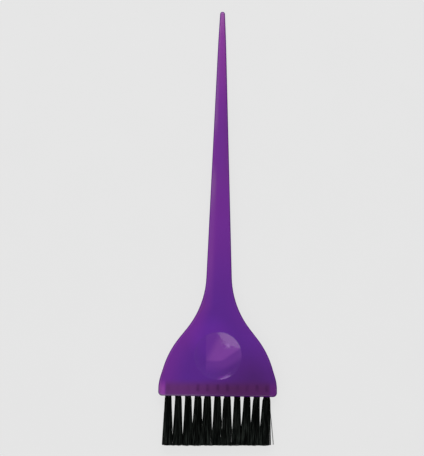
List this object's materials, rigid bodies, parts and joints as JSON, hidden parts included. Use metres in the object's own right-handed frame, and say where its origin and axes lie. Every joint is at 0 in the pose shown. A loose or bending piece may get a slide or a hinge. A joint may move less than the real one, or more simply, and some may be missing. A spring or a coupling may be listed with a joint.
{
  "type": "tint brush",
  "caption": "Wide hair-tint brush: one-piece moulded handle with flared head, thumb dish and pointed tail, and one row of staple-set bristle tufts.",
  "frame": {"origin": "middle of the brush's overall length and width, on the plane that its flat back rests on", "axes": "+Y along the brush from the bristle ends to the pointed tail, +X across the head, +Z out of the front face"},
  "size_m": [0.0594, 0.217, 0.0072],
  "materials": {
    "handle_plastic": "moulded translucent purple plastic, smooth and glossy",
    "bristle_nylon": "black nylon filament, satin",
    "anchor_wire": "flat wire, cut and unpolished"
  },
  "bodies": {
    "root": {"handle": "handle_plastic", "tuft_01": "bristle_nylon", "tuft_02": "bristle_nylon", "tuft_03": "bristle_nylon", "tuft_04": "bristle_nylon", "tuft_05": "bristle_nylon", "tuft_06": "bristle_nylon", "tuft_07": "bristle_nylon", "tuft_08": "bristle_nylon", "tuft_09": "bristle_nylon", "tuft_10": "bristle_nylon", "tuft_11": "bristle_nylon", "anchor_01": "anchor_wire", "anchor_02": "anchor_wire", "anchor_03": "anchor_wire", "anchor_04": "anchor_wire", "anchor_05": "anchor_wire", "anchor_06": "anchor_wire", "anchor_07": "anchor_wire", "anchor_08": "anchor_wire", "anchor_09": "anchor_wire", "anchor_10": "anchor_wire", "anchor_11": "anchor_wire"}
  },
  "joints": []
}
